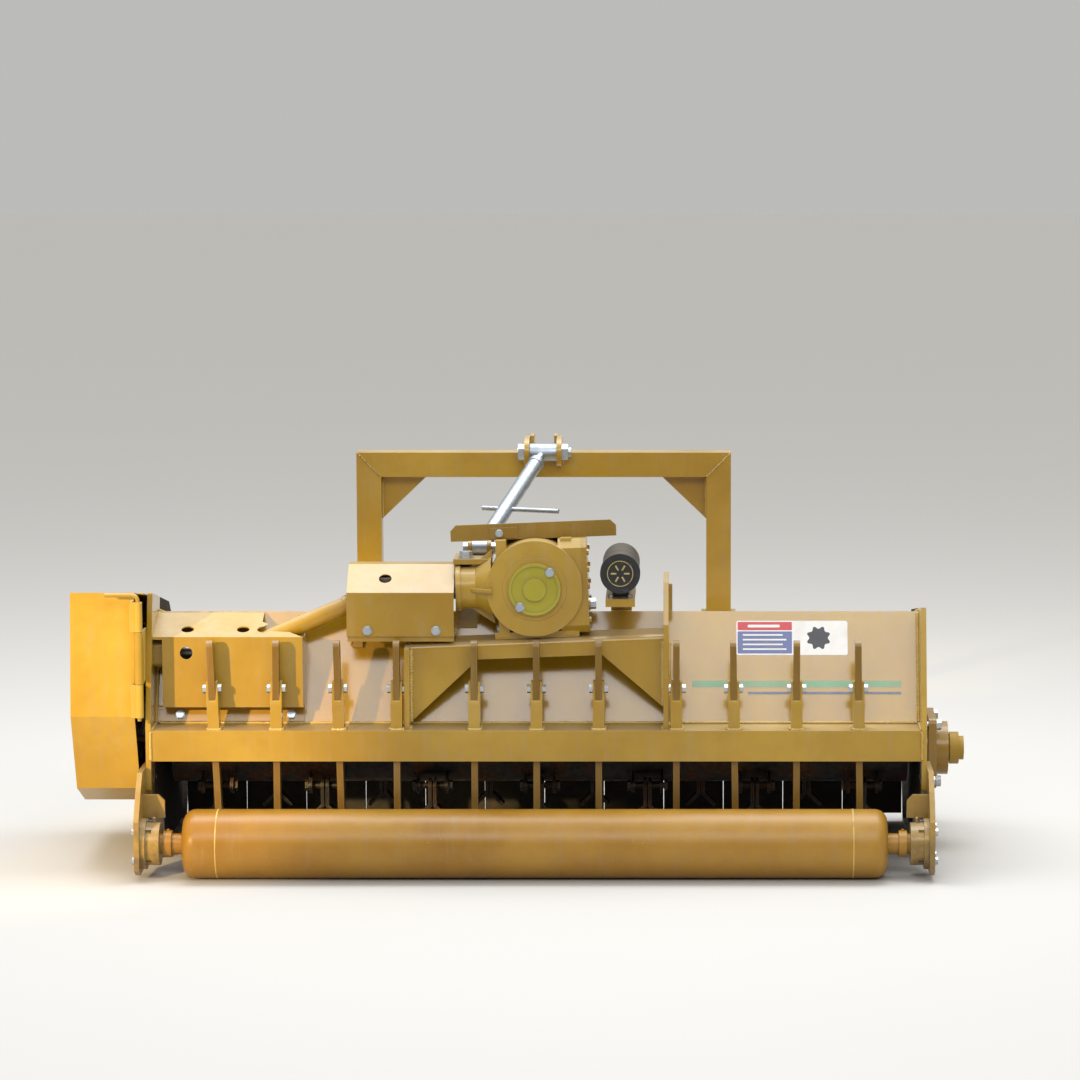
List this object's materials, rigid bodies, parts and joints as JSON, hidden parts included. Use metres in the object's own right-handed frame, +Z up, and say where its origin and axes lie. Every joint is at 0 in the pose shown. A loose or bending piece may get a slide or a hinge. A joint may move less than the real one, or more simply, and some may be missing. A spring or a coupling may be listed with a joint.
{
  "type": "flail mower",
  "caption": "Tractor-mounted flail brush mower with a gearbox, belt drive, hinged belt guard, rake fingers and ground roller.",
  "frame": {"origin": "centre of the machine's box, on the ground", "axes": "+X to the machine's right as seen from behind, +Y toward the tractor, +Z up"},
  "size_m": [2.207, 0.9661, 1.002],
  "materials": {
    "gold": "semi-gloss enamel",
    "weathered_gold": "worn enamel",
    "cast_gold": "painted casting",
    "cap_paint": "satin enamel",
    "zinc": "zinc plated",
    "galvanised": "galvanised",
    "steel": "dull",
    "shoe_steel": "scoured",
    "black_rubber": "matte",
    "black_plastic": "satin"
  },
  "bodies": {
    "frame": {"left_side_plate": "gold", "right_side_plate": "gold", "deck_shell": "gold", "rear_beam": "gold", "front_rail": "gold", "finger_sockets": "gold", "skid_shoes": "shoe_steel", "gearbox_stand": "gold", "hitch_frame": "gold", "hitch_plates": "gold", "lower_hitch_pins": "zinc", "gearbox_casing": "cast_gold", "gearbox_rear_cap": "cap_paint", "gearbox_side_cover": "gold", "gearbox_bearings": "steel", "pto_shield": "gold", "u_joint_cover": "gold", "drive_cover_box": "gold", "roller_brackets": "gold", "roller_bearings": "gold", "shaft_bearings": "gold", "guard_hinge_fixed": "gold", "manual_canister": "black_plastic", "frame_bolts": "zinc", "gearbox_hardware": "zinc", "drive_belts": "black_rubber", "brace_eyes": "galvanised"},
    "rotor": {"rotor": "steel", "lower_pulley": "steel"},
    "flails_1": {"flail_row_1": "steel"},
    "flails_2": {"flail_row_2": "steel"},
    "flails_3": {"flail_row_3": "steel"},
    "flails_4": {"flail_row_4": "steel"},
    "jackshaft": {"jackshaft": "steel", "upper_pulley": "steel"},
    "drive_shaft": {"drive_shaft": "gold"},
    "output_shaft": {"output_shaft": "steel", "bevel_pinion": "steel"},
    "input_shaft": {"input_shaft": "steel", "bevel_gear": "steel"},
    "idler_arm": {"idler_arm": "steel"},
    "idler_pulley": {"idler_pulley": "steel"},
    "roller": {"ground_roller": "weathered_gold"},
    "guard": {"belt_guard": "gold"},
    "guard_pin": {"guard_hinge_pin": "gold"},
    "canister_lid": {"canister_lid": "black_plastic"},
    "brace_barrel": {"brace_barrel": "galvanised"},
    "tommy_bar": {"tommy_bar": "galvanised"},
    "front_curtain": {"front_curtain": "black_rubber"},
    "finger_1": {"rake_finger_1": "weathered_gold"},
    "finger_2": {"rake_finger_2": "weathered_gold"},
    "finger_3": {"rake_finger_3": "weathered_gold"},
    "finger_4": {"rake_finger_4": "weathered_gold"},
    "finger_5": {"rake_finger_5": "weathered_gold"},
    "finger_6": {"rake_finger_6": "weathered_gold"},
    "finger_7": {"rake_finger_7": "weathered_gold"},
    "finger_8": {"rake_finger_8": "weathered_gold"},
    "finger_9": {"rake_finger_9": "weathered_gold"},
    "finger_10": {"rake_finger_10": "weathered_gold"},
    "finger_11": {"rake_finger_11": "weathered_gold"}
  },
  "joints": [
    {"name": "rotor_spin", "type": "hinge", "parent": "frame", "child": "rotor", "pos_m": [0.0345, 0.03107, 0.243], "axis": [-1, 0, 0], "continuous": true},
    {"name": "jackshaft_spin", "type": "hinge", "parent": "frame", "child": "jackshaft", "pos_m": [-0.7105, -0.18393, 0.521], "axis": [-1, 0, 0], "continuous": true},
    {"name": "drive_shaft_spin", "type": "hinge", "parent": "frame", "child": "drive_shaft", "pos_m": [-0.3535, -0.18393, 0.67491], "axis": [-0.9183, 0, -0.3959], "continuous": true},
    {"name": "output_shaft_spin", "type": "hinge", "parent": "frame", "child": "output_shaft", "pos_m": [0.0305, -0.18393, 0.69], "axis": [-0.9992, 0, -0.0393], "continuous": true},
    {"name": "pto_input_spin", "type": "hinge", "parent": "frame", "child": "input_shaft", "pos_m": [0.0305, -0.18393, 0.69], "axis": [0, 1, 0], "continuous": true},
    {"name": "idler_arm_swing", "type": "hinge", "parent": "frame", "child": "idler_arm", "pos_m": [-0.9405, -0.24893, 0.395], "axis": [-1, 0, 0], "range_deg": [0, 12], "stiffness_Nm_per_rad": 14, "springref_deg": -22.92},
    {"name": "idler_pulley_spin", "type": "hinge", "parent": "idler_arm", "child": "idler_pulley", "pos_m": [-1.0075, -0.1726, 0.30221], "axis": [-1, 0, 0], "continuous": true},
    {"name": "roller_spin", "type": "hinge", "parent": "frame", "child": "roller", "pos_m": [0.0345, -0.39892, 0.08415], "axis": [-1, 0, 0], "continuous": true},
    {"name": "flail_swing_1", "type": "hinge", "parent": "rotor", "child": "flails_1", "pos_m": [0.0345, -0.05024, 0.16168], "axis": [1, 0, 0], "range_deg": [-153, 63]},
    {"name": "flail_swing_2", "type": "hinge", "parent": "rotor", "child": "flails_2", "pos_m": [0.0345, 0.11239, 0.16168], "axis": [1, 0, 0], "range_deg": [-63, 153]},
    {"name": "flail_swing_3", "type": "hinge", "parent": "rotor", "child": "flails_3", "pos_m": [0.0345, -0.05024, 0.32432], "axis": [1, 0, 0], "range_deg": [-220, 0]},
    {"name": "flail_swing_4", "type": "hinge", "parent": "rotor", "child": "flails_4", "pos_m": [0.0345, 0.11239, 0.32432], "axis": [1, 0, 0], "range_deg": [0, 220]},
    {"name": "finger_slide_1", "type": "slide", "parent": "frame", "child": "finger_1", "axis": [-0.0419, 0, 0.9991], "range_m": [-0.038, 0.038]},
    {"name": "finger_slide_2", "type": "slide", "parent": "frame", "child": "finger_2", "axis": [0, 0, 1], "range_m": [-0.038, 0.038]},
    {"name": "finger_slide_3", "type": "slide", "parent": "frame", "child": "finger_3", "axis": [-0.0209, 0, 0.9998], "range_m": [-0.038, 0.038]},
    {"name": "finger_slide_4", "type": "slide", "parent": "frame", "child": "finger_4", "axis": [0, 0, 1], "range_m": [-0.038, 0.038]},
    {"name": "finger_slide_5", "type": "slide", "parent": "frame", "child": "finger_5", "axis": [0, 0, 1], "range_m": [-0.038, 0.038]},
    {"name": "finger_slide_6", "type": "slide", "parent": "frame", "child": "finger_6", "axis": [0, 0, 1], "range_m": [-0.038, 0.038]},
    {"name": "finger_slide_7", "type": "slide", "parent": "frame", "child": "finger_7", "axis": [0, 0, 1], "range_m": [-0.038, 0.038]},
    {"name": "finger_slide_8", "type": "slide", "parent": "frame", "child": "finger_8", "axis": [0, 0, 1], "range_m": [-0.038, 0.038]},
    {"name": "finger_slide_9", "type": "slide", "parent": "frame", "child": "finger_9", "axis": [-0.014, 0, 0.9999], "range_m": [-0.038, 0.038]},
    {"name": "finger_slide_10", "type": "slide", "parent": "frame", "child": "finger_10", "axis": [0, 0, 1], "range_m": [-0.038, 0.038]},
    {"name": "finger_slide_11", "type": "slide", "parent": "frame", "child": "finger_11", "axis": [-0.014, 0, 0.9999], "range_m": [-0.038, 0.038]},
    {"name": "guard_door", "type": "hinge", "parent": "frame", "child": "guard", "pos_m": [-0.9325, -0.33692, 0.525], "axis": [0, 0, 1], "range_deg": [0, 95]},
    {"name": "guard_pin_lift", "type": "slide", "parent": "guard", "child": "guard_pin", "axis": [0, 0, 1], "range_m": [0, 0.3]},
    {"name": "canister_lid_pull", "type": "slide", "parent": "frame", "child": "canister_lid", "axis": [0, -1, 0], "range_m": [0, 0.06]},
    {"name": "brace_barrel_turn", "type": "hinge", "parent": "frame", "child": "brace_barrel", "pos_m": [-0.1105, -0.10892, 0.771], "axis": [0.3053, 0.8592, 0.4106], "continuous": true},
    {"name": "tommy_bar_slide", "type": "slide", "parent": "brace_barrel", "child": "tommy_bar", "axis": [-0.9423, 0.3349, 0], "range_m": [-0.02, 0.1]},
    {"name": "front_curtain_swing", "type": "hinge", "parent": "frame", "child": "front_curtain", "pos_m": [0.0345, 0.30107, 0.316], "axis": [1, 0, 0], "range_deg": [-20, 75]}
  ],
  "couplings": [
    {"joint": "jackshaft_spin", "follows": "rotor_spin", "ratio": 0.7},
    {"joint": "drive_shaft_spin", "follows": "rotor_spin", "ratio": 0.7},
    {"joint": "output_shaft_spin", "follows": "rotor_spin", "ratio": 0.7},
    {"joint": "pto_input_spin", "follows": "rotor_spin", "ratio": -0.36207},
    {"joint": "idler_pulley_spin", "follows": "rotor_spin", "ratio": -1.8421}
  ]
}
